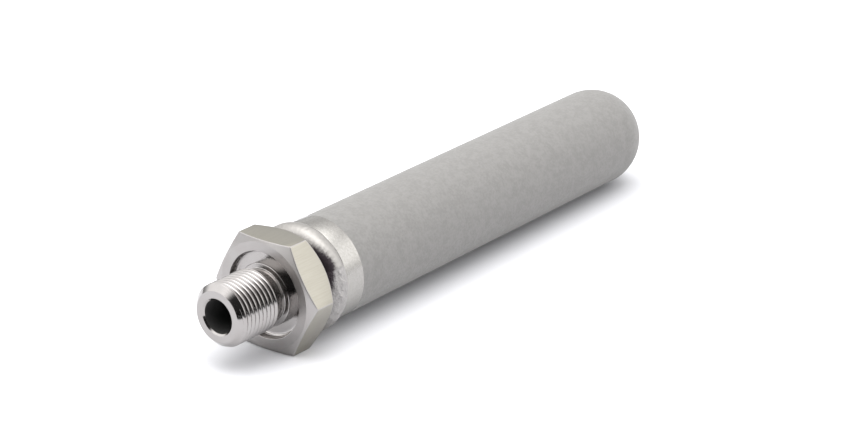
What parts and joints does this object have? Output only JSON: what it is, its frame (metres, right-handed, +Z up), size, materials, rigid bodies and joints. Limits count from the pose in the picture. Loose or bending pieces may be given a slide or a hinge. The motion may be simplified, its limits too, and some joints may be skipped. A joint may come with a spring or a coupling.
{
  "type": "sintered filter element",
  "caption": "Hollow porous metal filter tube with a domed end, welded through a solid collar to a hexagon fitting with a bored, threaded stud.",
  "frame": {"origin": "on the surface that the element lies on, below the middle of its box", "axes": "+X along the element from the thread towards the dome, +Z up; the element's own axis dips 0.56 degrees towards the dome, as it rests on its hexagon and dome"},
  "size_m": [0.1206, 0.0242, 0.0211],
  "materials": {
    "turned_steel": "turned and milled stainless steel, bright, with fine tool lines",
    "weld_steel": "rippled weld metal, satin",
    "collar_steel": "fine-turned stainless steel, satin",
    "sintered_steel": "sintered powder, matte and finely grained"
  },
  "bodies": {
    "root": {"threaded_fitting": "turned_steel", "weld_bead": "weld_steel", "end_collar": "collar_steel", "porous_tube": "sintered_steel"}
  },
  "joints": []
}
